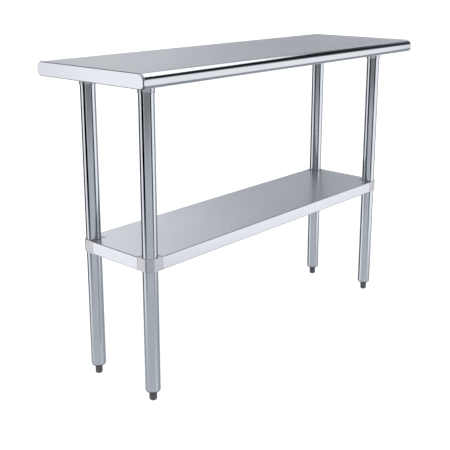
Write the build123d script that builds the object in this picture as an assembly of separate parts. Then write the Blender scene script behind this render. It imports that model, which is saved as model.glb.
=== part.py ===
from build123d import *
import os

# Stainless steel work table: a sheet worktop with rolled front and rear edges, four tubular legs in
# cast sockets, one undershelf that slides on the legs, and screw feet.
# Millimetres, +Z up. The origin is on the floor under the middle of the table. +X runs along the
# length, and the front edge faces -Y. Pieces at a leg are made about the leg's own axis, for the
# front left leg, so there -X and -Y point outwards.

# Whole table
TABLE_LENGTH = 1219.2
TABLE_DEPTH = 406.4
TABLE_HEIGHT = 889.0
LEG_INSET = 90.7

# Worktop sheet
SHEET = 1.2
EDGE_HEIGHT = 38.1
ROLL_TOP_RADIUS = 19.0
ROLL_BOTTOM_RADIUS = 12.0
ROLL_LIP = 10.0
END_CAP_DEPTH = 6.0
END_CAP_ROUND = 2.5

# Hat channels under the sheets
BEND_RADIUS = 2.4
TOP_CROWN = 76.0
TOP_CHANNEL_HEIGHT = 24.0
TOP_CHANNEL_FOOT = 16.0
CROSS_CHANNEL_LENGTH = 360.0
CHANNEL_GAP = 3.0
SHELF_CROWN = 50.0
SHELF_CHANNEL_HEIGHT = 20.0
SHELF_CHANNEL_FOOT = 14.0
SHELF_CHANNEL_LENGTH = 1060.0

# Leg tubes
LEG_RADIUS = 41.275 / 2
LEG_WALL = 1.2
LEG_BOTTOM = 32.0
LEG_TOP_GAP = 0.5

# Leg sockets
SOCKET_FLANGE = 70.0
SOCKET_FLANGE_THICKNESS = 4.0
SOCKET_FLANGE_CORNER = 8.0
SOCKET_BORE_RADIUS = LEG_RADIUS + 0.06
SOCKET_BOTTOM = 827.0
SOCKET_RIM_RADIUS = 22.1
SOCKET_RIM_HEIGHT = 3.0
SOCKET_RIM_STEP = 0.5
SOCKET_NECK_RADIUS = 21.8
SOCKET_TOP_RADIUS = 25.0
SOCKET_SCREW_Z = 845.0

# Screws that hold the sockets to the channels
FLANGE_SCREW_OFFSET = 26.0
FLANGE_SCREW_RADIUS = 3.0
FLANGE_SCREW_LENGTH = 12.0
FLANGE_SCREW_HEAD_FLATS = 10.0
FLANGE_SCREW_HEAD = 4.0
FLANGE_SCREW_HEAD_CHAMFER = 1.0
FLANGE_HOLE_RADIUS = 3.3
NUT_HEIGHT = 5.0
NUT_CLEARANCE = 0.05

# Set screws that clamp the sockets and the shelf brackets on the legs
SET_SCREW_RADIUS = 4.0
SET_SCREW_CLEARANCE = 0.05
SET_SCREW_LENGTH = 12.0
SET_SCREW_KEY_FLATS = 4.0
SET_SCREW_KEY_DEPTH = 4.0
SET_SCREW_POINT = 1.0
SET_SCREW_BOSS_RADIUS = 6.5
SET_SCREW_BOSS_END = 32.0
SOCKET_SCREW_TIP = LEG_RADIUS + 0.1
BRACKET_SCREW_TIP = LEG_RADIUS + 0.6

# Undershelf
SHELF_TOP = 403.7
SHELF_SHEET = 1.0
SHELF_FLANGE = 36.0
SHELF_LIP = 10.0
SHELF_BEND = 2.0
SHELF_FACE = 23.2
BRACKET_REACH = 24.0
BRACKET_SEAM = 0.8

# Corner brackets of the undershelf
BRACKET_BORE_RADIUS = LEG_RADIUS + 0.3
BRACKET_RADIUS = 24.0
BRACKET_ROUND = 1.5
WING_THICKNESS = 2.5
WING_ROUND = 0.6
WEB_DROP = 0.8
WEB_CLEARANCE = 0.1
WEB_THICKNESS = 3.0
WEB_REACH = 38.0
WEB_INSET = 3.0
WEB_CORNER_RADIUS = 23.0
TONGUE_THICKNESS = 2.0
TONGUE_START = 10.0
TONGUE_REACH = 38.0
TONGUE_MARGIN = 3.5
BRACKET_SCREW_DROP = 20.0

# Foot inserts, feet and studs
INSERT_BOTTOM = 24.4
INSERT_NOSE_RADIUS = 12.5
INSERT_TOP = 58.0
INSERT_FIT = 0.05
INSERT_POCKET_BOTTOM = 42.0
INSERT_POCKET_INNER = 9.0
INSERT_WALL = 2.5
STUD_RADIUS = 5.0
STUD_BORE_CLEARANCE = 0.08
STUD_BOTTOM = 4.0
STUD_TOP = 61.0
STUD_POINT = 1.2
FOOT_TOP = 24.0
FOOT_FLATS = 18.6
FOOT_ROUND_RADIUS = 10.6
FOOT_BASE_RADIUS = 8.2
FOOT_CHAMFER = 2.8
FOOT_NECK_RADIUS = 9.9
FOOT_NECK_HEIGHT = 2.2
FOOT_TURN = 15.0
STUD_FIT = 0.03

# Places worked out from the sizes above
LEG_X = TABLE_LENGTH / 2 - LEG_INSET
LEG_Y = TABLE_DEPTH / 2 - LEG_INSET
EDGE_BOTTOM = TABLE_HEIGHT - EDGE_HEIGHT
CAP_START = TABLE_LENGTH / 2 - END_CAP_DEPTH
CROWN_FACE = TABLE_HEIGHT - SHEET - TOP_CHANNEL_HEIGHT
FLANGE_BOTTOM = CROWN_FACE - SOCKET_FLANGE_THICKNESS
LEG_INNER_RADIUS = LEG_RADIUS - LEG_WALL
SHELF_BOTTOM = SHELF_TOP - SHELF_FLANGE
BRACKET_SCREW_Z = SHELF_TOP - BRACKET_SCREW_DROP
WING_OVERRUN = (BRACKET_RADIUS**2 - SHELF_FACE**2) ** 0.5
CORNERS = {
    "front_left": (-1, -1),
    "front_right": (1, -1),
    "rear_left": (-1, 1),
    "rear_right": (1, 1),
}


def slab(x_span, y_span, z_span):
    """A box between two corners, given as its low and high value on each axis."""
    sizes = [high - low for low, high in (x_span, y_span, z_span)]
    middle = [(high + low) / 2 for low, high in (x_span, y_span, z_span)]
    return Pos(*middle) * Box(*sizes)


def disc(radius, z_low, z_high):
    """A cylinder about the Z axis."""
    return Pos(0, 0, (z_low + z_high) / 2) * Cylinder(radius, z_high - z_low)


def hex_bar(flats, z_low, z_high):
    """A hexagonal bar about the Z axis, given its width across flats."""
    section = Pos(0, 0, z_low) * RegularPolygon(flats / 2, 6, major_radius=False)
    return extrude(section, z_high - z_low)


def turned(points):
    """A turned piece about the Z axis from its half section, as (radius, height) points."""
    half_section = Plane.XZ * make_face(Polyline(*points, close=True))
    return revolve(half_section, Axis.Z)


def at_corner(shape, side_x, side_y):
    """Moves a piece made for the front left leg's axis to one of the four legs."""
    if side_x > 0:
        shape = mirror(shape, about=Plane.YZ)
    if side_y > 0:
        shape = mirror(shape, about=Plane.XZ)
    return Pos(side_x * LEG_X, side_y * LEG_Y, 0) * shape


def inward(shape, height):
    """Lays a piece made along +Z down, so that it points from the leg's axis to the table's middle."""
    return Pos(0, 0, height) * Rot(0, 0, 45) * Rot(0, 90, 0) * shape


# Worktop

def edge_outline(inset):
    """The worktop's outline seen from its end: large rolls above, smaller ones below."""
    outline = Rectangle(TABLE_DEPTH - 2 * inset, EDGE_HEIGHT - 2 * inset)
    outline = fillet(outline.vertices().group_by(Axis.Y)[-1], ROLL_TOP_RADIUS - inset)
    return fillet(outline.vertices().group_by(Axis.Y)[0], ROLL_BOTTOM_RADIUS - inset)


def end_profile(inset, x_start, length):
    """A bar with the worktop's end outline, from x_start along +X."""
    section = Plane((x_start, 0, TABLE_HEIGHT - EDGE_HEIGHT / 2), x_dir=(0, 1, 0), z_dir=(1, 0, 0))
    return extrude(section * edge_outline(inset), length)


def worktop_skin():
    """Top sheet with its front and rear edges rolled under to a short lip, open below."""
    outside = end_profile(0, -CAP_START, 2 * CAP_START)
    inside = end_profile(SHEET, -CAP_START, 2 * CAP_START)
    half_opening = TABLE_DEPTH / 2 - ROLL_BOTTOM_RADIUS - ROLL_LIP
    opening = slab(
        (-CAP_START, CAP_START),
        (-half_opening, half_opening),
        (EDGE_BOTTOM - SHEET, EDGE_BOTTOM + 2 * SHEET),
    )
    return outside - inside - opening


def worktop_end():
    """Left end cap: a shallow pan with a rounded rim, welded to the end of the skin."""
    outside = end_profile(0, -TABLE_LENGTH / 2, END_CAP_DEPTH)
    outside = fillet(outside.faces().sort_by(Axis.X)[0].edges(), END_CAP_ROUND)
    inside = end_profile(SHEET, SHEET - TABLE_LENGTH / 2, END_CAP_DEPTH)
    inside = fillet(inside.faces().sort_by(Axis.X)[0].edges(), END_CAP_ROUND - SHEET)
    return outside - inside


# Hat channels

def hat_channel(length, crown, height, foot, thickness):
    """A hat section along X, hanging from Z = 0 by its two feet, with bent corners."""
    half = crown / 2 - thickness / 2
    drop = height - thickness / 2
    path = FilletPolyline(
        (-half - foot, -thickness / 2),
        (-half, -thickness / 2),
        (-half, -drop),
        (half, -drop),
        (half, -thickness / 2),
        (half + foot, -thickness / 2),
        radius=BEND_RADIUS,
    )
    section = make_face(offset(path, thickness / 2, kind=Kind.INTERSECTION, side=Side.BOTH))
    end_plane = Plane((-length / 2, 0, 0), x_dir=(0, 1, 0), z_dir=(1, 0, 0))
    return extrude(end_plane * section, length)


def screw_places():
    """The places of one socket's four flange screws about the leg's axis."""
    return [
        Pos(x * FLANGE_SCREW_OFFSET, y * FLANGE_SCREW_OFFSET, 0)
        for x in (-1, 1)
        for y in (-1, 1)
    ]


def cross_channel(side):
    """Channel across the table over one pair of legs, drilled for both sockets' screws."""
    channel = hat_channel(
        CROSS_CHANNEL_LENGTH, TOP_CROWN, TOP_CHANNEL_HEIGHT, TOP_CHANNEL_FOOT, SHEET
    )
    channel = Pos(side * LEG_X, 0, TABLE_HEIGHT - SHEET) * Rot(0, 0, 90) * channel
    hole = disc(FLANGE_HOLE_RADIUS, CROWN_FACE - SHEET, CROWN_FACE + 2 * SHEET)
    for leg_side in (-1, 1):
        for place in screw_places():
            channel -= Pos(side * LEG_X, leg_side * LEG_Y, 0) * place * hole
    return channel


def long_channel():
    """Channel along the middle of the worktop, between the two cross channels."""
    side_width = TOP_CROWN / 2 + TOP_CHANNEL_FOOT + CHANNEL_GAP
    channel = hat_channel(
        2 * (LEG_X - side_width), TOP_CROWN, TOP_CHANNEL_HEIGHT, TOP_CHANNEL_FOOT, SHEET
    )
    return Pos(0, 0, TABLE_HEIGHT - SHEET) * channel


def undershelf_channel():
    """Channel along the middle of the undershelf."""
    channel = hat_channel(
        SHELF_CHANNEL_LENGTH, SHELF_CROWN, SHELF_CHANNEL_HEIGHT, SHELF_CHANNEL_FOOT, SHELF_SHEET
    )
    return Pos(0, 0, SHELF_TOP - SHELF_SHEET) * channel


# Legs and their sockets

def set_screw(tip_radius, height):
    """Headless set screw that points at the leg, with a hexagonal key hole in its outer end."""
    screw = disc(SET_SCREW_RADIUS - SET_SCREW_CLEARANCE, tip_radius, tip_radius + SET_SCREW_LENGTH)
    screw = chamfer(screw.edges().group_by(Axis.Z)[0], SET_SCREW_POINT)
    outer_end = tip_radius + SET_SCREW_LENGTH
    screw -= hex_bar(SET_SCREW_KEY_FLATS, outer_end - SET_SCREW_KEY_DEPTH, outer_end)
    return inward(screw, height)


def screw_boss(start_radius, height):
    """Round boss on a socket or bracket that holds its set screw."""
    return inward(disc(SET_SCREW_BOSS_RADIUS, start_radius, SET_SCREW_BOSS_END), height)


def screw_hole(height):
    """The set screw's hole through a boss, from the leg's axis outwards."""
    return inward(disc(SET_SCREW_RADIUS, 0, SET_SCREW_BOSS_END + 1), height)


def leg_socket():
    """Cast socket: a square flange, a tapered cup with a rim, and a boss for its set screw."""
    square = RectangleRounded(SOCKET_FLANGE, SOCKET_FLANGE, SOCKET_FLANGE_CORNER)
    flange = extrude(Pos(0, 0, FLANGE_BOTTOM) * square, SOCKET_FLANGE_THICKNESS)
    rim_top = SOCKET_BOTTOM + SOCKET_RIM_HEIGHT
    cup = turned([
        (0, SOCKET_BOTTOM),
        (SOCKET_RIM_RADIUS, SOCKET_BOTTOM),
        (SOCKET_RIM_RADIUS, rim_top),
        (SOCKET_NECK_RADIUS, rim_top + SOCKET_RIM_STEP),
        (SOCKET_TOP_RADIUS, FLANGE_BOTTOM),
        (0, FLANGE_BOTTOM),
    ])
    socket = flange + cup + screw_boss(LEG_RADIUS, SOCKET_SCREW_Z)
    socket -= disc(SOCKET_BORE_RADIUS, SOCKET_BOTTOM - 1, FLANGE_BOTTOM)
    socket -= screw_hole(SOCKET_SCREW_Z)
    hole = disc(FLANGE_HOLE_RADIUS, FLANGE_BOTTOM - 1, CROWN_FACE + 1)
    for place in screw_places():
        socket -= place * hole
    return socket


def flange_screw():
    """Hexagon screw through the socket's flange and the channel, up into its weld nut."""
    head_bottom = FLANGE_BOTTOM - FLANGE_SCREW_HEAD
    head = hex_bar(FLANGE_SCREW_HEAD_FLATS, head_bottom, FLANGE_BOTTOM)
    blank = disc(FLANGE_SCREW_HEAD_FLATS / 2 + FLANGE_SCREW_HEAD_CHAMFER, head_bottom, FLANGE_BOTTOM)
    head &= chamfer(blank.edges().group_by(Axis.Z)[0], FLANGE_SCREW_HEAD_CHAMFER)
    return head + disc(FLANGE_SCREW_RADIUS, FLANGE_BOTTOM, FLANGE_BOTTOM + FLANGE_SCREW_LENGTH)


def weld_nut():
    """Hexagon nut welded inside the channel over one screw hole."""
    seat = CROWN_FACE + SHEET
    nut = hex_bar(FLANGE_SCREW_HEAD_FLATS, seat, seat + NUT_HEIGHT)
    return nut - disc(FLANGE_SCREW_RADIUS + NUT_CLEARANCE, seat - 1, seat + NUT_HEIGHT + 1)


def leg_tube():
    """Straight round tube from the foot insert up into the socket."""
    tube_top = FLANGE_BOTTOM - LEG_TOP_GAP
    return disc(LEG_RADIUS, LEG_BOTTOM, tube_top) - disc(LEG_INNER_RADIUS, LEG_BOTTOM, tube_top)


# Feet

def foot_insert():
    """Turned insert: a rounded nose that closes the tube, a plug inside it and a threaded bore."""
    plug_radius = LEG_INNER_RADIUS - INSERT_FIT
    nose = EllipticalCenterArc(
        (INSERT_NOSE_RADIUS, LEG_BOTTOM),
        LEG_RADIUS - INSERT_NOSE_RADIUS,
        LEG_BOTTOM - INSERT_BOTTOM,
        start_angle=-90,
        arc_size=90,
    )
    rest = Polyline(
        (LEG_RADIUS, LEG_BOTTOM),
        (plug_radius, LEG_BOTTOM),
        (plug_radius, INSERT_TOP),
        (0, INSERT_TOP),
        (0, INSERT_BOTTOM),
        (INSERT_NOSE_RADIUS, INSERT_BOTTOM),
    )
    insert = revolve(Plane.XZ * make_face(nose + rest), Axis.Z)
    pocket = disc(plug_radius - INSERT_WALL, INSERT_POCKET_BOTTOM, INSERT_TOP)
    pocket -= disc(INSERT_POCKET_INNER, INSERT_POCKET_BOTTOM, INSERT_TOP)
    bore = disc(STUD_RADIUS + STUD_BORE_CLEARANCE, INSERT_BOTTOM - 1, INSERT_TOP + 1)
    return insert - pocket - bore


def foot():
    """Hexagonal foot with a round neck and a chamfered base, bored for its stud."""
    neck_bottom = FOOT_TOP - FOOT_NECK_HEIGHT
    envelope = turned([
        (0, 0),
        (FOOT_BASE_RADIUS, 0),
        (FOOT_ROUND_RADIUS, FOOT_CHAMFER),
        (FOOT_ROUND_RADIUS, neck_bottom),
        (0, neck_bottom),
    ])
    body = Rot(0, 0, FOOT_TURN) * hex_bar(FOOT_FLATS, 0, neck_bottom) & envelope
    body += disc(FOOT_NECK_RADIUS, neck_bottom, FOOT_TOP)
    return body - disc(STUD_RADIUS + STUD_FIT, STUD_BOTTOM, FOOT_TOP)


def foot_stud():
    """Threaded stud moulded into the foot, at its pitch cylinder, with a pointed upper end."""
    stud = disc(STUD_RADIUS, STUD_BOTTOM, STUD_TOP)
    return chamfer(stud.edges().group_by(Axis.Z)[-1], STUD_POINT)


# Undershelf

def shelf_box(inset, height_inset):
    """The undershelf's outer or inner box, with its long bends rounded."""
    half_x = LEG_X + SHELF_FACE - inset
    half_y = LEG_Y + SHELF_FACE - inset
    box = slab(
        (-half_x, half_x),
        (-half_y, half_y),
        (SHELF_BOTTOM + height_inset, SHELF_TOP - height_inset),
    )
    level_edges = box.edges().filter_by(Axis.X) + box.edges().filter_by(Axis.Y)
    return fillet(level_edges, SHELF_BEND - inset)


def undershelf_pan():
    """Shelf sheet with turned-down flanges, a turned-in lip, and its corners notched for brackets."""
    pan = shelf_box(0, 0) - shelf_box(SHELF_SHEET, SHELF_SHEET)
    half_x = LEG_X + SHELF_FACE
    half_y = LEG_Y + SHELF_FACE
    pan -= slab(
        (SHELF_LIP - half_x, half_x - SHELF_LIP),
        (SHELF_LIP - half_y, half_y - SHELF_LIP),
        (SHELF_BOTTOM - 1, SHELF_BOTTOM + 2 * SHELF_SHEET),
    )
    for side_x, side_y in CORNERS.values():
        notch_x = sorted((side_x * (LEG_X - BRACKET_REACH), side_x * (half_x + 1)))
        notch_y = sorted((side_y * (LEG_Y - BRACKET_REACH), side_y * (half_y + 1)))
        pan -= slab(notch_x, notch_y, (SHELF_BOTTOM - 1, SHELF_TOP + 1))
    return pan


def bracket_collar(web_top):
    """The part of the bracket round the leg: full height at the outer corner, up to the web inside."""
    round_bar = disc(BRACKET_RADIUS, SHELF_BOTTOM, SHELF_TOP)
    round_bar = fillet(round_bar.edges().filter_by(GeomType.CIRCLE), BRACKET_ROUND)
    outer = (-BRACKET_RADIUS, -WING_OVERRUN)
    inner = (WING_THICKNESS - SHELF_FACE, BRACKET_RADIUS)
    corner = round_bar & slab(outer, outer, (SHELF_BOTTOM, SHELF_TOP))
    sleeve = round_bar & slab(inner, inner, (SHELF_BOTTOM, web_top))
    return corner + sleeve


def bracket_web(web_top):
    """Level plate that fills the corner of the shelf, with a step down to go in under its sheet."""
    step_top = SHELF_TOP - SHELF_SHEET - WEB_CLEARANCE
    web_bottom = step_top - WEB_THICKNESS
    between_wings = (WING_THICKNESS - SHELF_FACE, BRACKET_REACH - BRACKET_SEAM)
    under_sheet = (WEB_INSET - SHELF_FACE, WEB_REACH)
    web = slab(between_wings, between_wings, (web_bottom, web_top))
    web += slab(under_sheet, under_sheet, (web_bottom, step_top))
    outer = (-SHELF_FACE, 0)
    corner = slab(outer, outer, (web_bottom - 1, web_top + 1))
    return web - (corner - disc(WEB_CORNER_RADIUS, web_bottom - 1, web_top + 1))


def bracket_side(across_x):
    """One wing in line with the shelf's flange, and the tongue that goes behind the flange."""
    tongue_face = SHELF_SHEET - SHELF_FACE
    wing_through = (-SHELF_FACE, WING_THICKNESS - SHELF_FACE)
    wing_along = (-WING_OVERRUN, BRACKET_REACH - BRACKET_SEAM)
    tongue_through = (tongue_face, tongue_face + TONGUE_THICKNESS)
    tongue_along = (TONGUE_START, TONGUE_REACH)
    wing = slab(wing_through, wing_along, (SHELF_BOTTOM, SHELF_TOP))
    wing = fillet(wing.edges().filter_by(Axis.Y), WING_ROUND)
    margins = (SHELF_BOTTOM + TONGUE_MARGIN, SHELF_TOP - TONGUE_MARGIN)
    side = wing + slab(tongue_through, tongue_along, margins)
    if across_x:
        return side
    return mirror(side, about=Plane((0, 0, 0), z_dir=(1, -1, 0)))


def corner_bracket():
    """Cast corner of the undershelf: a collar round the leg, two wings, a web and two tongues."""
    web_top = SHELF_TOP - WEB_DROP
    bracket = bracket_collar(web_top) + bracket_web(web_top)
    for across_x in (True, False):
        bracket += bracket_side(across_x)
    bracket += screw_boss(LEG_RADIUS, BRACKET_SCREW_Z)
    bracket -= disc(BRACKET_BORE_RADIUS, SHELF_BOTTOM - 1, SHELF_TOP + 1)
    return bracket - screw_hole(BRACKET_SCREW_Z)


def at_all_corners(shape, name):
    """One node with a copy of a fastener at each of the four legs."""
    copies = [at_corner(shape, *sides) for sides in CORNERS.values()]
    return Compound(label=name, children=[solid for copy in copies for solid in copy.solids()])


def build():
    """All nodes by name."""
    nodes = {
        "worktop_skin": worktop_skin(),
        "worktop_end_left": worktop_end(),
        "worktop_end_right": mirror(worktop_end(), about=Plane.YZ),
        "cross_channel_left": cross_channel(-1),
        "cross_channel_right": cross_channel(1),
        "long_channel": long_channel(),
        "undershelf_pan": undershelf_pan(),
        "undershelf_channel": undershelf_channel(),
    }
    socket = leg_socket()
    bracket = corner_bracket()
    for corner, sides in CORNERS.items():
        nodes[f"leg_socket_{corner}"] = at_corner(socket, *sides)
        nodes[f"leg_{corner}"] = at_corner(leg_tube(), *sides)
        nodes[f"foot_insert_{corner}"] = at_corner(foot_insert(), *sides)
        nodes[f"foot_{corner}"] = at_corner(foot(), *sides)
        nodes[f"foot_stud_{corner}"] = at_corner(foot_stud(), *sides)
        nodes[f"corner_bracket_{corner}"] = at_corner(bracket, *sides)
    screws = Compound(children=[place * flange_screw() for place in screw_places()])
    nuts = Compound(children=[place * weld_nut() for place in screw_places()])
    fasteners = {
        "socket_screws": screws,
        "weld_nuts": nuts,
        "socket_set_screws": set_screw(SOCKET_SCREW_TIP, SOCKET_SCREW_Z),
        "bracket_set_screws": set_screw(BRACKET_SCREW_TIP, BRACKET_SCREW_Z),
    }
    for name, fastener in fasteners.items():
        nodes[name] = at_all_corners(fastener, name)
    return nodes


os.makedirs("parts", exist_ok=True)
for node, shape in build().items():
    export_step(shape, f"parts/{node}.step")
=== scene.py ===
import bmesh
import bpy
import math
from mathutils import Euler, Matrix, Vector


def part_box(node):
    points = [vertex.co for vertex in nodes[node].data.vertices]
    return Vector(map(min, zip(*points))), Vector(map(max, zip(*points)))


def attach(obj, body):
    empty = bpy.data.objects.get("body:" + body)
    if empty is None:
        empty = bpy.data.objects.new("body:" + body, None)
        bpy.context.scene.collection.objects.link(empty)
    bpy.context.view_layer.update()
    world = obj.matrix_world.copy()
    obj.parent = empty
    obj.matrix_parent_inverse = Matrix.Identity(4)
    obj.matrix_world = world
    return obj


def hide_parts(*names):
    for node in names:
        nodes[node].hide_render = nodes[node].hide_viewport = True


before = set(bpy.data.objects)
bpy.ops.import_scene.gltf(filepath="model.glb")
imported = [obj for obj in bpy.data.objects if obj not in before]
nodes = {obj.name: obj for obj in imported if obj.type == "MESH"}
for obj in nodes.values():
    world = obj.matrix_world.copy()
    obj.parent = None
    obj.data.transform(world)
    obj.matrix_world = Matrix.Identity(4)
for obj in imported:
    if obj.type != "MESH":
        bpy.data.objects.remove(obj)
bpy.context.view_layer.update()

CORNERS = ("front_left", "front_right", "rear_left", "rear_right")
WHITE = (1.0, 1.0, 1.0)

# Camera: where it stands in metres, then its heading from +Y towards +X and its downward pitch in
# degrees. The lens and the sensor are in millimetres, and the shift is in sensor widths.
CAMERA_PLACE = (-1.836, -1.548, 1.118)
CAMERA_HEADING = 48.2
CAMERA_PITCH = 13.8
CAMERA_LENS = 64.1
CAMERA_SENSOR = 36.0
CAMERA_SHIFT = -0.13

# Brushed sheet: cycles per metre of the grain along and across the brushing, its share in the
# tone, and the values of the tone between which the sheet goes from its dark colour to its base
# colour. A face is brushed across the table once its normal leans this far towards X.
GRAIN_ALONG = 2.5
GRAIN_ACROSS = 1100.0
GRAIN_TONE = 0.35
TONE_RANGE = (0.2, 0.8)
NOISE_MIDDLE = 0.5
SHEET_ANISOTROPY = 0.55
FACES_X = (0.6, 0.8)

# Bends of a sheet: where a normal stops lying along an axis, its painted shade and its roughness
BEND_LIMITS = (0.999, 0.97)
BEND_PAINTED_SHADE = 0.38
BEND_ROUGHNESS = 0.5

# Polished roll of the worktop: how soon the polish starts, in metres, and how it looks
ROLL_FADE = 0.004
ROLL_ROUGHNESS = 0.09
ROLL_GRAIN = 0.1

# The values of a noise between which a finish goes from its darkest tone to its base colour, and
# that darkest tone as a share of the base colour. Scuffs on the plastic are paler than its base.
CLOUD_RANGE = (0.3, 0.7)
TUBE_SHADE = 0.93
CAST_SHADE = 0.92
SPANGLE_SHADE = 0.78
PLATED_SHADE = 0.75
SCUFF_RANGE = (0.5, 0.8)
SCUFF_TONE = 1.35

# Height of the bumps of each finish, in metres
TUBE_BUMP = 0.00001
CAST_BUMP = 0.00001
SPANGLE_BUMP = 0.00004
PLATED_BUMP = 0.00005
PLASTIC_BUMP = 0.00008

# M10 thread, in metres. The profile runs over one pitch: how far along it, and the share of the
# depth that is cut away there. Points closer than the merge distance become one, and edges sharper
# than the last angle, in degrees, are not smoothed.
THREAD_PITCH = 0.0015
THREAD_DEPTH = 0.00092
THREAD_LEAD_IN = 0.0012
THREAD_PROFILE = ((0.0, 0.0), (0.125, 0.0), (0.44, 1.0), (0.69, 1.0))
THREAD_STEPS = 24
THREAD_MERGE = 1e-7
THREAD_SHARP = 35

# The floor lies just below the feet when they are screwed right out, so it never hides them
FLOOR_SIZE = 60.0
FLOOR_HEIGHT = -0.0255
FLOOR_GREY = 0.2
FLOOR_ROUGHNESS = 0.9
FLOOR_GLOW = 0.92


# Node helpers

class Graph:
    """A short way to add linked nodes to a material or world."""

    def __init__(self, tree):
        self.tree = tree

    def add(self, kind, inputs=(), **settings):
        """Adds a node, sets its properties, and fills its inputs with values or sockets."""
        made = self.tree.nodes.new(kind)
        for name, value in settings.items():
            setattr(made, name, value)
        for key, value in dict(inputs).items():
            if isinstance(value, bpy.types.NodeSocket):
                self.tree.links.new(value, made.inputs[key])
            else:
                made.inputs[key].default_value = value
        return made

    def math(self, operation, first, second=0.0, third=0.0):
        inputs = {0: first, 1: second, 2: third}
        return self.add("ShaderNodeMath", inputs, operation=operation).outputs[0]

    def raised(self, base, by, where):
        """A base value raised by a share of another one."""
        return self.math("MULTIPLY_ADD", where, by, base)

    def smooth(self, value, low, high, to_low=0.0, to_high=1.0):
        """Smooth step of a value from one range to another."""
        inputs = {
            "Value": value,
            "From Min": low,
            "From Max": high,
            "To Min": to_low,
            "To Max": to_high,
        }
        made = self.add("ShaderNodeMapRange", inputs, interpolation_type="SMOOTHSTEP")
        return made.outputs["Result"]

    def mix(self, amount, first, second):
        """Mixes two values."""
        inputs = {"Factor": amount, "A": first, "B": second}
        return self.add("ShaderNodeMix", inputs, data_type="FLOAT").outputs[0]

    def tint(self, amount, first, second):
        """Mixes two colours."""
        made = self.add("ShaderNodeMix", {"Factor": amount}, data_type="RGBA")
        for socket, value in ((made.inputs[6], first), (made.inputs[7], second)):
            if isinstance(value, bpy.types.NodeSocket):
                self.tree.links.new(value, socket)
            else:
                socket.default_value = (*value, 1.0)
        return made.outputs[2]

    def position(self):
        """Object coordinates in metres."""
        return self.add("ShaderNodeTexCoord").outputs["Object"]

    def parts(self, vector):
        """The X, Y and Z of a vector."""
        return self.add("ShaderNodeSeparateXYZ", {0: vector}).outputs

    def place(self, scale):
        """Object coordinates stretched by a scale for each axis."""
        inputs = {"Vector": self.position(), "Scale": scale}
        return self.add("ShaderNodeMapping", inputs).outputs["Vector"]

    def noise(self, scale, detail, roughness):
        """Noise in object space, with its own scale for each axis, in cycles per metre."""
        inputs = {
            "Vector": self.place(scale),
            "Scale": 1.0,
            "Detail": detail,
            "Roughness": roughness,
        }
        return self.add("ShaderNodeTexNoise", inputs).outputs["Fac"]

    def bump(self, height, distance):
        inputs = {"Height": height, "Distance": distance, "Strength": 1.0}
        return self.add("ShaderNodeBump", inputs).outputs["Normal"]

    def clouded(self, cloud, base, share):
        """A base colour that darkens to a share of itself where a noise is low."""
        return self.tint(self.smooth(cloud, *CLOUD_RANGE), scaled(base, share), base)


def scaled(colour, share):
    """A colour with each component multiplied, and none above 1."""
    return tuple(min(1.0, value * share) for value in colour)


def new_material(name, **sockets):
    """A material with a Principled shader, and its constant sockets set."""
    material = bpy.data.materials.new(name)
    material.use_nodes = True
    shader = material.node_tree.nodes["Principled BSDF"]
    for key, value in sockets.items():
        shader.inputs[key.replace("_", " ")].default_value = value
    return material, shader, Graph(material.node_tree)


def link(graph, shader, **sockets):
    for key, socket in sockets.items():
        graph.tree.links.new(socket, shader.inputs[key.replace("_", " ")])


# Materials

def brushed_grain(graph):
    """Fine lines from brushing: along Y on faces that look along X, and along X elsewhere."""
    lines_x = graph.noise((GRAIN_ALONG, GRAIN_ACROSS, GRAIN_ACROSS), detail=2.0, roughness=0.6)
    lines_y = graph.noise((GRAIN_ACROSS, GRAIN_ALONG, GRAIN_ACROSS), detail=2.0, roughness=0.6)
    normal = graph.add("ShaderNodeNewGeometry").outputs["Normal"]
    looks_x = graph.smooth(graph.math("ABSOLUTE", graph.parts(normal)[0]), *FACES_X)
    return graph.mix(looks_x, lines_x, lines_y)


def bend_mask(graph):
    """Full on the rounded bends of a sheet and nothing on its flat faces."""
    normal = graph.add("ShaderNodeTexCoord").outputs["Normal"]
    x, y, z = [graph.math("ABSOLUTE", side) for side in graph.parts(normal)]
    return graph.smooth(graph.math("MAXIMUM", graph.math("MAXIMUM", x, y), z), *BEND_LIMITS)


def sheet_steel(name, base, dark, rough, rough_swing, bump_depth, roll_start=None):
    """Brushed stainless sheet. From roll_start, in metres from the middle plane, it is polished.

    Without a roll_start its bends are duller than its flat faces, and darkened with painted shade.
    """
    material, shader, graph = new_material(name, Metallic=1.0, Anisotropic=SHEET_ANISOTROPY)
    grain = brushed_grain(graph)
    cloud = graph.noise((3.0, 5.0, 5.0), detail=3.0, roughness=0.5)
    roughness = graph.raised(rough - rough_swing / 2, by=rough_swing, where=grain)
    roughness = graph.raised(roughness, by=rough_swing, where=cloud)
    tone = graph.raised(cloud, by=GRAIN_TONE, where=graph.math("SUBTRACT", grain, NOISE_MIDDLE))
    colour = graph.tint(graph.smooth(tone, *TONE_RANGE), dark, base)
    if roll_start is None:
        bend = bend_mask(graph)
        # Painted shade: a bend's colour is darkened to a share of the base, standing in for shade
        # along the fold
        colour = graph.tint(bend, colour, scaled(base, BEND_PAINTED_SHADE))
        roughness = graph.mix(bend, roughness, BEND_ROUGHNESS)
    else:
        roll = (roll_start, roll_start + ROLL_FADE)
        y = graph.math("ABSOLUTE", graph.parts(graph.position())[1])
        roughness = graph.mix(graph.smooth(y, *roll), roughness, ROLL_ROUGHNESS)
        kept = graph.smooth(y, *roll, to_low=1.0, to_high=ROLL_GRAIN)
        grain = graph.math("MULTIPLY", grain, kept)
    link(
        graph,
        shader,
        Base_Color=colour,
        Roughness=roughness,
        Normal=graph.bump(grain, bump_depth),
        Tangent=graph.add("ShaderNodeCombineXYZ", {0: 1.0, 1: 0.0, 2: 0.0}).outputs[0],
    )
    return material


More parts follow.
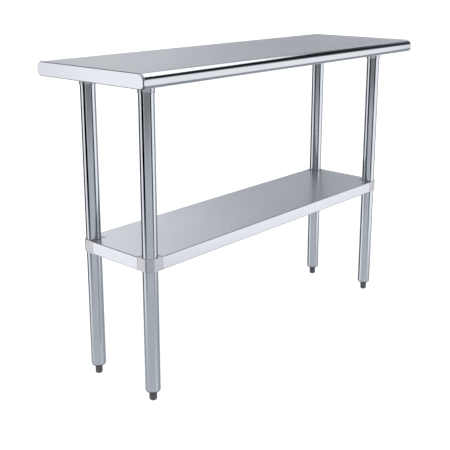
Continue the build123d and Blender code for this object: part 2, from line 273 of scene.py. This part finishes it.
def polished_tube(name, base, rough):
    """Round tube polished along its length, with very fine lines and faint smears."""
    material, shader, graph = new_material(name, Metallic=1.0)
    lines = graph.noise((700.0, 700.0, 2.0), detail=3.0, roughness=0.6)
    smears = graph.noise((14.0, 14.0, 5.0), detail=4.0, roughness=0.6)
    roughness = graph.raised(rough, by=0.025, where=lines)
    roughness = graph.raised(roughness, by=0.03, where=smears)
    colour = graph.clouded(smears, base, TUBE_SHADE)
    normal = graph.bump(lines, TUBE_BUMP)
    link(graph, shader, Base_Color=colour, Roughness=roughness, Normal=normal)
    return material


def casting(name, base, rough):
    """Satin cast metal with a fine grain and faint clouds."""
    material, shader, graph = new_material(name, Metallic=1.0)
    grain = graph.noise((1400.0, 1400.0, 1400.0), detail=4.0, roughness=0.6)
    cloud = graph.noise((45.0, 45.0, 45.0), detail=3.0, roughness=0.5)
    roughness = graph.raised(rough, by=0.10, where=cloud)
    colour = graph.clouded(cloud, base, CAST_SHADE)
    normal = graph.bump(grain, CAST_BUMP)
    link(graph, shader, Base_Color=colour, Roughness=roughness, Normal=normal)
    return material


def galvanised(name, base, rough):
    """Galvanised sheet with a spangle of crystals, each with its own tone and roughness."""
    material, shader, graph = new_material(name, Metallic=1.0)
    inputs = {"Vector": graph.place((140.0, 140.0, 140.0)), "Scale": 1.0}
    spangle = graph.add("ShaderNodeTexVoronoi", inputs).outputs["Color"]
    value = graph.parts(spangle)[0]
    roughness = graph.raised(rough, by=0.2, where=value)
    colour = graph.tint(value, scaled(base, SPANGLE_SHADE), base)
    normal = graph.bump(value, SPANGLE_BUMP)
    link(graph, shader, Base_Color=colour, Roughness=roughness, Normal=normal)
    return material


def plated(name, base, rough):
    """Zinc-plated fastener steel."""
    material, shader, graph = new_material(name, Metallic=1.0)
    cloud = graph.noise((250.0, 250.0, 250.0), detail=4.0, roughness=0.6)
    colour = graph.clouded(cloud, base, PLATED_SHADE)
    roughness = graph.raised(rough, by=0.2, where=cloud)
    normal = graph.bump(cloud, PLATED_BUMP)
    link(graph, shader, Base_Color=colour, Roughness=roughness, Normal=normal)
    return material


def moulded_plastic(name, base, rough):
    """Dark moulded plastic with a fine texture and pale scuffs."""
    material, shader, graph = new_material(name)
    grain = graph.noise((1500.0, 1500.0, 1500.0), detail=3.0, roughness=0.6)
    scuffs = graph.noise((260.0, 260.0, 260.0), detail=4.0, roughness=0.6)
    colour = graph.tint(graph.smooth(scuffs, *SCUFF_RANGE), base, scaled(base, SCUFF_TONE))
    roughness = graph.raised(rough, by=0.12, where=scuffs)
    normal = graph.bump(grain, PLASTIC_BUMP)
    link(graph, shader, Base_Color=colour, Roughness=roughness, Normal=normal)
    return material


def dress(material, *names):
    """Gives CAD nodes their material."""
    for name in names:
        slots = nodes[name].data.materials
        if not len(slots):
            slots.append(material)
        for index in range(len(slots)):
            slots[index] = material


def at_corners(stem):
    """The four nodes that share a stem, one at each leg."""
    return [f"{stem}_{corner}" for corner in CORNERS]


# Threaded studs

def thread_point(centre, base, height, radius, step, along, depth):
    """A point of the thread, between the stud's ends and inside the lead-in at each end."""
    z = (step / THREAD_STEPS - 1 + along) * THREAD_PITCH
    inside = min(max(z, 0.0), height)
    lead_in = radius - THREAD_LEAD_IN + min(inside, height - inside)
    reach = radius - depth * THREAD_DEPTH if inside == z else radius
    reach = min(reach, lead_in)
    turn = 2 * math.pi * step / THREAD_STEPS
    x = centre[0] + reach * math.cos(turn)
    y = centre[1] + reach * math.sin(turn)
    return (x, y, base + inside)


def threaded_stud(corner, material):
    """A stud with a real helical thread, in place of the CAD's plain one at one foot."""
    low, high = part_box(f"foot_stud_{corner}")
    radius = (high[0] - low[0]) / 2
    centre = (low[0] + radius, low[1] + radius)
    height = high[2] - low[2]
    steps = (math.ceil(height / THREAD_PITCH) + 2) * THREAD_STEPS
    shape = bmesh.new()
    # One helical line for each point of the profile. The last line is the first, one turn on.
    lines = []
    for along, depth in THREAD_PROFILE:
        points = [
            thread_point(centre, low[2], height, radius, step, along, depth)
            for step in range(steps + THREAD_STEPS + 1)
        ]
        lines.append([shape.verts.new(point) for point in points])
    lines.append(lines[0][THREAD_STEPS:])
    for lower, upper in zip(lines, lines[1:]):
        for step in range(steps):
            shape.faces.new((lower[step], lower[step + 1], upper[step + 1], upper[step]))
    loose = [vert for vert in shape.verts if not vert.link_faces]
    bmesh.ops.delete(shape, geom=loose, context="VERTS")
    bmesh.ops.remove_doubles(shape, verts=shape.verts, dist=THREAD_MERGE)
    bmesh.ops.holes_fill(shape, edges=shape.edges)
    bmesh.ops.recalc_face_normals(shape, faces=shape.faces)
    mesh = bpy.data.meshes.new(f"threaded_stud_{corner}")
    shape.to_mesh(mesh)
    shape.free()
    mesh.shade_smooth()
    mesh.set_sharp_from_angle(angle=math.radians(THREAD_SHARP))
    mesh.materials.append(material)
    stud = bpy.data.objects.new(mesh.name, mesh)
    bpy.context.scene.collection.objects.link(stud)
    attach(stud, f"foot_{corner}")
    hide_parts(f"foot_stud_{corner}")


top_steel = sheet_steel(
    "brushed_top",
    base=(0.57, 0.585, 0.622),
    dark=(0.525, 0.54, 0.577),
    rough=0.30,
    rough_swing=0.08,
    bump_depth=0.000015,
    roll_start=0.184,
)
end_steel = sheet_steel(
    "brushed_end",
    base=(0.775, 0.80, 0.845),
    dark=(0.715, 0.74, 0.785),
    rough=0.26,
    rough_swing=0.06,
    bump_depth=0.000015,
)
shelf_steel = sheet_steel(
    "brushed_shelf",
    base=(0.785, 0.798, 0.843),
    dark=(0.755, 0.768, 0.813),
    rough=0.25,
    rough_swing=0.03,
    bump_depth=0.000012,
)
tube_steel = polished_tube("polished_tube", base=(0.60, 0.63, 0.67), rough=0.02)
cast_socket = casting("cast_socket", base=(0.60, 0.62, 0.66), rough=0.18)
cast_bracket = casting("cast_bracket", base=(0.60, 0.60, 0.64), rough=0.20)
zinc_sheet = galvanised("galvanised_sheet", base=(0.60, 0.62, 0.64), rough=0.36)
plated_steel = plated("plated_steel", base=(0.55, 0.56, 0.58), rough=0.25)
turned_insert = casting("turned_insert", base=(0.50, 0.52, 0.55), rough=0.15)
foot_plastic = moulded_plastic("foot_plastic", base=(0.080, 0.082, 0.090), rough=0.36)

dress(top_steel, "worktop_skin")
dress(end_steel, "worktop_end_left", "worktop_end_right")
dress(shelf_steel, "undershelf_pan")
dress(tube_steel, *at_corners("leg"))
dress(cast_socket, *at_corners("leg_socket"))
dress(cast_bracket, *at_corners("corner_bracket"))
dress(zinc_sheet, "cross_channel_left", "cross_channel_right", "long_channel")
dress(zinc_sheet, "undershelf_channel")
dress(plated_steel, "socket_screws", "weld_nuts", *at_corners("foot_stud"))
dress(plated_steel, "socket_set_screws", "bracket_set_screws")
dress(turned_insert, *at_corners("foot_insert"))
dress(foot_plastic, *at_corners("foot"))
for corner in CORNERS:
    threaded_stud(corner, plated_steel)


# Studio

# What lies behind the panels: the brightness low down, of the walls at their foot and further up,
# and of the ceiling. Each edge is an elevation and its softness, in degrees.
LOW_LIGHT = 0.1
LOW_EDGE = (-58, 7)
WALL_LIGHT = (0.46, 0.64)
WALL_EDGE = (-38, 7)
CEILING_LIGHT = 1.9
CEILING_EDGE = (37.3, 1.8)

# Dim light is cool, and turns white as it brightens over this range
COOL = (0.86, 0.93, 1.0)
COOL_RANGE = (0.2, 1.2)

# Keeps a direction that points straight up or down from being divided by nothing
LEAST_LEVEL = 0.001

# What the metal mirrors far away, by direction, later rows over earlier ones. Azimuths turn from
# +X towards +Y. Columns: azimuth of the middle, half width and softness of its sides, lower edge
# and its softness, upper edge and its softness (all in degrees), and brightness.
STUDIO_PANELS = (
    # Floor in front of the table, and the dim room above it
    (223, 76, 8, -48, 6, -9.5, 4, 0.69),
    (158, 12, 5, -50, 5, -27, 3, 0.78),
    (287, 13, 5, -50, 5, -26, 3, 0.88),
    (223, 70, 5, -7.5, 3.5, 37, 6, 0.28),
    # Pale wall at the far left, and a duller one at the far right with brighter patches above
    (61.5, 21, 7, -12, 8, 34, 8, 0.84),
    (24, 16, 7, -12, 5, 18, 4, 0.39),
    (28, 16, 8, 11, 2, 19, 3, 0.12),
    (20, 20, 6, 19, 3, 33, 5, 0.66),
    (16, 11, 6, 17, 2, 31, 3, 0.88),
    # Black flag and white panel on the left
    (102, 18, 3, -24, 6, 38, 4, 0.02),
    (137, 16, 3, -25, 5, 12, 8, 1.25),
    # Dull floor on the right, and a black panel over it that fades towards its lower edge
    (352.5, 19.5, 6, -52, 6, 0, 4, 0.47),
    (338, 27, 4, 10, 12, 37, 1.2, 0.02),
    # Black flag over the left end, which draws the dark line round the end plate
    (98, 30, 6, 26, 6, 62, 8, 0.02),
    # Two dull patches high on the right
    (12, 9, 3, 30, 3, 35.5, 2, 0.4),
    (358, 9, 4, 18, 3, 31, 1.2, 0.36),
)

# Upright screens nearer the table, which only reflections see. Columns: name, its two ends in
# plan, the heights where it starts to show and is full, the heights where it starts to fade and is
# gone (all in metres), and brightness.
SCREENS = (
    ("dim_screen", (-1.70, -0.42), (0.15, -2.27), (0.25, 0.68), (1.4, 1.6), 0.28),
    ("right_flag", (-0.19, -1.95), (0.38, -2.015), (-0.75, 0.15), (1.4, 1.6), 0.0),
    ("left_flag", (-3.25, -0.29), (-3.06, 1.28), (-1.1, -0.1), (1.6, 2.0), 0.0),
    ("white_screen", (0.84, -2.275), (3.75, -1.91), (-1.1, -0.42), (1.0, 1.6), 1.35),
)


def sine(degrees):
    return math.sin(math.radians(degrees))


def cosine(degrees):
    return math.cos(math.radians(degrees))


def make_world():
    """A studio drawn by direction: walls, a bright ceiling, and soft panels over them."""
    world = bpy.data.worlds.new("studio")
    world.use_nodes = True
    bpy.context.scene.world = world
    graph = Graph(world.node_tree)
    background = world.node_tree.nodes["Background"]
    direction = graph.add("ShaderNodeTexCoord").outputs["Generated"]
    east, north, height = graph.parts(direction)
    level = graph.math("MULTIPLY_ADD", east, east, graph.math("MULTIPLY", north, north))
    level = graph.math("MAXIMUM", graph.math("SQRT", level), LEAST_LEVEL)
    east = graph.math("DIVIDE", east, level)
    north = graph.math("DIVIDE", north, level)

    def rise(elevation, softness, start=0.0, end=1.0):
        """A smooth step in height round an elevation."""
        low, high = sine(elevation - softness), sine(elevation + softness)
        return graph.smooth(height, low, high, start, end)

    def panel_mask(azimuth, half_width, side, low, low_soft, high, high_soft):
        across = graph.math("MULTIPLY", north, sine(azimuth))
        along = graph.math("MULTIPLY_ADD", east, cosine(azimuth), across)
        mask = graph.smooth(along, cosine(half_width + side), cosine(half_width - side))
        mask = graph.math("MULTIPLY", mask, rise(low, low_soft))
        return graph.math("MULTIPLY", mask, rise(high, high_soft, start=1.0, end=0.0))

    light = graph.mix(rise(*LOW_EDGE), LOW_LIGHT, rise(*WALL_EDGE, *WALL_LIGHT))
    light = graph.mix(rise(*CEILING_EDGE), light, CEILING_LIGHT)
    for *shape, brightness in STUDIO_PANELS:
        light = graph.mix(panel_mask(*shape), light, brightness)
    colour = graph.tint(graph.smooth(light, *COOL_RANGE), COOL, WHITE)
    # The camera itself sees plain white
    seen = graph.add("ShaderNodeLightPath").outputs["Is Camera Ray"]
    light = graph.mix(seen, light, 1.0)
    colour = graph.tint(seen, colour, WHITE)
    graph.tree.links.new(colour, background.inputs["Color"])
    graph.tree.links.new(light, background.inputs["Strength"])


def make_sheet(name, outline):
    """A flat four-sided object."""
    mesh = bpy.data.meshes.new(name)
    mesh.from_pydata(outline, [], [(0, 1, 2, 3)])
    sheet = bpy.data.objects.new(name, mesh)
    bpy.context.scene.collection.objects.link(sheet)
    return sheet


def make_screen(name, start, end, low, high, brightness):
    """A standing screen that only reflections see, fading out at its lower and upper edges."""
    outline = [(*start, low[0]), (*end, low[0]), (*end, high[1]), (*start, high[1])]
    screen = make_sheet(name, outline)
    material = bpy.data.materials.new(name + "_cloth")
    material.use_nodes = True
    tree = material.node_tree
    tree.nodes.clear()
    graph = Graph(tree)
    height = graph.parts(graph.position())[2]
    fade_in = graph.smooth(height, *low)
    fade_out = graph.smooth(height, *high, to_low=1.0, to_high=0.0)
    shown = graph.math("MULTIPLY", fade_in, fade_out)
    cloth = graph.add("ShaderNodeEmission", {"Strength": brightness}).outputs[0]
    clear = graph.add("ShaderNodeBsdfTransparent").outputs[0]
    mixed = graph.add("ShaderNodeMixShader", {0: shown, 1: clear, 2: cloth})
    graph.add("ShaderNodeOutputMaterial", {0: mixed.outputs[0]})
    screen.data.materials.append(material)
    screen.visible_camera = False
    screen.visible_diffuse = False
    screen.visible_shadow = False


def make_floor():
    """A wide pale floor. The metal reflects the studio's drawn lower half instead of it."""
    half = FLOOR_SIZE / 2
    plan = ((-half, -half), (half, -half), (half, half), (-half, half))
    floor = make_sheet("floor", [(x, y, FLOOR_HEIGHT) for x, y in plan])
    material = new_material(
        "floor_paper",
        Base_Color=(FLOOR_GREY, FLOOR_GREY, FLOOR_GREY, 1.0),
        Roughness=FLOOR_ROUGHNESS,
        Emission_Color=(*WHITE, 1.0),
        Emission_Strength=FLOOR_GLOW,
    )[0]
    floor.data.materials.append(material)
    floor.visible_glossy = False


def make_camera():
    data = bpy.data.cameras.new("camera")
    data.lens = CAMERA_LENS
    data.sensor_width = CAMERA_SENSOR
    data.shift_y = CAMERA_SHIFT
    camera = bpy.data.objects.new("camera", data)
    camera.location = CAMERA_PLACE
    tilt = math.radians(90 - CAMERA_PITCH)
    camera.rotation_euler = Euler((tilt, 0.0, math.radians(-CAMERA_HEADING)))
    bpy.context.scene.collection.objects.link(camera)
    bpy.context.scene.camera = camera


make_world()
for screen in SCREENS:
    make_screen(*screen)
make_floor()
make_camera()
bpy.context.scene.view_settings.view_transform = "Standard"
